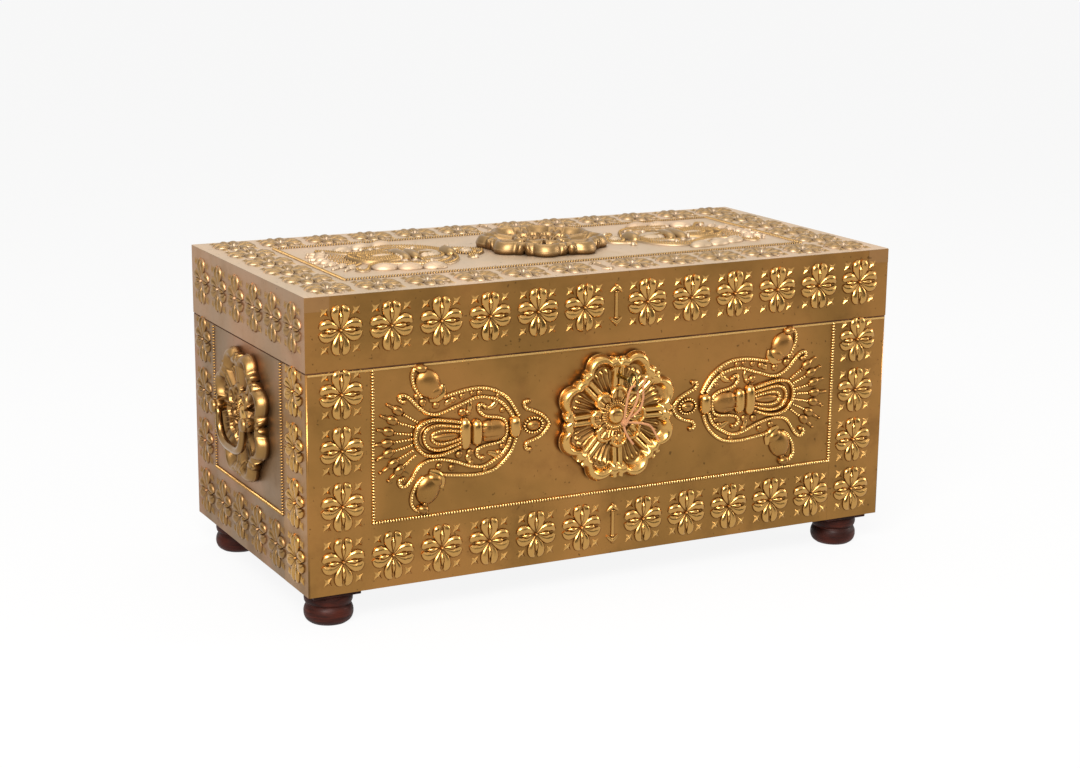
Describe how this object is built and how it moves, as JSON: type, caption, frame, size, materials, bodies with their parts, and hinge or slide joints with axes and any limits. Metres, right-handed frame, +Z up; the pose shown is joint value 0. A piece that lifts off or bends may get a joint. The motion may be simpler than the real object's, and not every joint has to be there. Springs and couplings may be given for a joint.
{
  "type": "chest",
  "caption": "Brass-clad wooden dowry chest with a hinged lid, stamped border tiles, rosettes, bail handles, a lock with key and twine, on turned feet.",
  "frame": {"origin": "on the floor under the middle of the whole, key included and twine left out", "axes": "+X to the viewer's right, +Y from the front to the back, +Z up"},
  "size_m": [0.965, 0.5099, 0.4658],
  "materials": {
    "brass_sheet": "aged, stamped",
    "cast_brass": "worn",
    "carcass_wood": "plain",
    "foot_wood": "dark polish",
    "iron": "dull",
    "twine": "jute"
  },
  "bodies": {
    "chest": {"back_bottom_strip": "brass_sheet", "back_centre_sheet": "brass_sheet", "base_back_board": "carcass_wood", "base_floor_board": "carcass_wood", "base_front_board": "carcass_wood", "base_left_board": "carcass_wood", "base_right_board": "carcass_wood", "base_rosette_studs": "cast_brass", "corner_sheet_front_left": "brass_sheet", "corner_sheet_front_right": "brass_sheet", "corner_sheet_rear_left": "brass_sheet", "corner_sheet_rear_right": "brass_sheet", "front_bottom_strip": "brass_sheet", "front_centre_sheet": "brass_sheet", "front_feet": "foot_wood", "front_rosette": "brass_sheet", "hinge_base_leaves": "iron", "left_bottom_strip": "brass_sheet", "left_centre_sheet": "brass_sheet", "left_handle_eyes": "cast_brass", "left_rosette": "brass_sheet", "lock_back_plate": "iron", "lock_case": "iron", "rear_feet": "foot_wood", "right_bottom_strip": "brass_sheet", "right_centre_sheet": "brass_sheet", "right_handle_eyes": "cast_brass", "right_rosette": "brass_sheet"},
    "lid": {"hinge_lid_leaves": "iron", "lid_back_rail": "carcass_wood", "lid_back_strip": "brass_sheet", "lid_front_rail": "carcass_wood", "lid_front_strip": "brass_sheet", "lid_left_rail": "carcass_wood", "lid_left_strip": "brass_sheet", "lid_right_rail": "carcass_wood", "lid_right_strip": "brass_sheet", "lid_rosette": "brass_sheet", "lid_rosette_stud": "cast_brass", "lid_top_back_strip": "brass_sheet", "lid_top_board": "carcass_wood", "lid_top_centre_sheet": "brass_sheet", "lid_top_front_strip": "brass_sheet", "lid_top_left_strip": "brass_sheet", "lid_top_right_strip": "brass_sheet", "lock_strike": "iron"},
    "left_handle": {"left_handle_bail": "cast_brass"},
    "right_handle": {"right_handle_bail": "cast_brass"},
    "key": {"key": "cast_brass"},
    "bolt": {"lock_bolt": "iron"},
    "twine": {"twine_loop": "twine", "twine_tails": "twine", "twine_strand": "twine", "twine_knot": "twine"}
  },
  "joints": [
    {"name": "lid_hinge", "type": "hinge", "parent": "chest", "child": "lid", "pos_m": [0, 0.25165, 0.34615], "axis": [-1, 0, 0], "range_deg": [0, 110]},
    {"name": "left_handle_swing", "type": "hinge", "parent": "chest", "child": "left_handle", "pos_m": [-0.474, 0.02785, 0.247], "axis": [0, 1, 0], "range_deg": [0, 175]},
    {"name": "right_handle_swing", "type": "hinge", "parent": "chest", "child": "right_handle", "pos_m": [0.474, 0.02785, 0.247], "axis": [0, -1, 0], "range_deg": [0, 175]},
    {"name": "key_turn", "type": "hinge", "parent": "chest", "child": "key", "pos_m": [0, -0.2, 0.304], "axis": [0, -1, 0], "range_deg": [0, 90]},
    {"name": "bolt_slide", "type": "slide", "parent": "chest", "child": "bolt", "axis": [1, 0, 0], "range_m": [0, 0.009]},
    {"name": "twine_hang", "type": "hinge", "parent": "key", "child": "twine", "pos_m": [0, -0.24415, 0.2925], "axis": [0, -1, 0], "range_deg": [-90, 0]}
  ],
  "couplings": [
    {"joint": "bolt_slide", "follows": "key_turn", "m_per_rad": 0.0057296},
    {"joint": "twine_hang", "follows": "key_turn", "ratio": -1}
  ]
}
